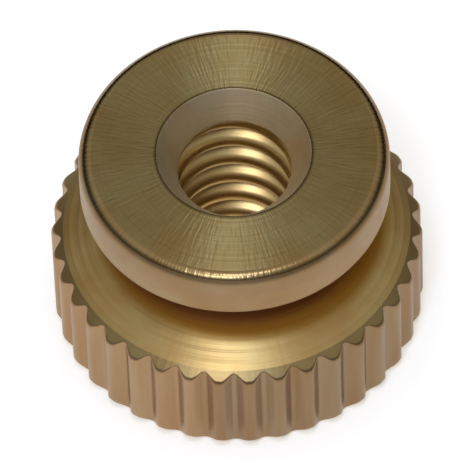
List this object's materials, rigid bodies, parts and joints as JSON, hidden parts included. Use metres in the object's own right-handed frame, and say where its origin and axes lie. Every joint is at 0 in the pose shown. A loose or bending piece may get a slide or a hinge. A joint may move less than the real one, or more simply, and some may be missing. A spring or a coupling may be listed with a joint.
{
  "type": "threaded insert",
  "caption": "Round brass threaded insert with a straight-knurled flange, a groove, a plain collar and a countersunk tapped hole right through.",
  "frame": {"origin": "middle of the knurled flange's foot, on the hole's axis", "axes": "+Z along the hole's axis, from the knurled foot up to the collar; -Y towards the picture's viewer"},
  "size_m": [0.0124, 0.0124, 0.0084],
  "materials": {
    "brass": "bright turned, slightly dulled"
  },
  "bodies": {
    "root": {"insert_body": "brass"}
  },
  "joints": []
}
